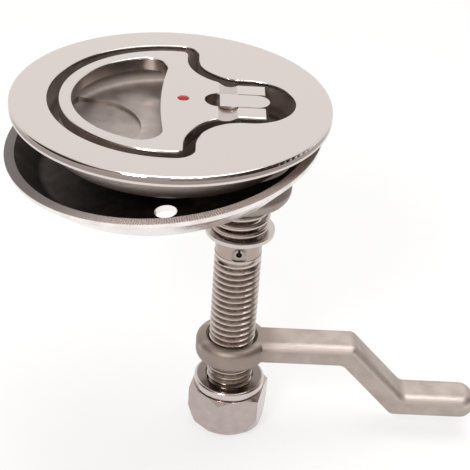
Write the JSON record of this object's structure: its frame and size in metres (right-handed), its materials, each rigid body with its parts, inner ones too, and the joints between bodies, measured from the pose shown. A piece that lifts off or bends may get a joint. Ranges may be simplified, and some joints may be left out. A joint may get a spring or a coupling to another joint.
{
  "type": "cam latch",
  "caption": "Round flush compression latch with a lift-up handle, spring-loaded spindle, threaded stud, cranked cam arm and loose backing dish.",
  "frame": {"origin": "centre of the flange's underside, which lies on the panel's outer face", "axes": "+Z out of the panel, towards the hand; +X from the flange's centre towards the spindle and along the cam arm; the handle's pull end is at -X; +Y completes the right-handed frame"},
  "size_m": [0.1238, 0.0766, 0.0958],
  "materials": {
    "cast_steel": "cast stainless steel, mirror polished on top, satin in the recess and below",
    "arm_steel": "satin investment-cast stainless steel",
    "bright_steel": "bright turned stainless steel",
    "spring_steel": "drawn stainless steel wire and strip",
    "dish_steel": "cast stainless steel with a serrated bright rim",
    "red_enamel": "glossy red enamel",
    "seal_rubber": "black nitrile rubber",
    "nylon": "natural nylon"
  },
  "bodies": {
    "housing": {"housing": "cast_steel", "seal_ring": "seal_rubber", "spring": "spring_steel"},
    "spindle": {"spindle": "bright_steel", "spring_seat": "bright_steel", "threaded_stud": "bright_steel", "roll_pin": "spring_steel", "lock_washer": "bright_steel", "lock_nut": "bright_steel", "nut_insert": "nylon"},
    "arm": {"cam_arm": "arm_steel"},
    "handle": {"pull_handle": "cast_steel", "hinge_pin": "bright_steel", "enamel_dot": "red_enamel"},
    "dish": {"backing_dish": "dish_steel"}
  },
  "joints": [
    {"name": "spindle_plunge", "type": "slide", "parent": "housing", "child": "spindle", "axis": [0, 0, -1], "range_m": [0, 0.00115], "deforming": ["spring"]},
    {"name": "handle_lift", "type": "hinge", "parent": "spindle", "child": "handle", "pos_m": [0.0182, 0, -0.001], "axis": [0, 1, 0], "range_deg": [0, 90]},
    {"name": "arm_turn", "type": "hinge", "parent": "spindle", "child": "arm", "pos_m": [0.0182, 0, -0.06885], "axis": [0, 0, 1], "range_deg": [0, 90]},
    {"name": "dish_rock", "type": "hinge", "parent": "housing", "child": "dish", "pos_m": [0.0182, 0, -0.0197], "axis": [-0.3746, 0.9272, 0], "range_deg": [0, 7.3]}
  ],
  "couplings": [
    {"joint": "handle_lift", "follows": "spindle_plunge", "rad_per_m": 1365.9}
  ]
}
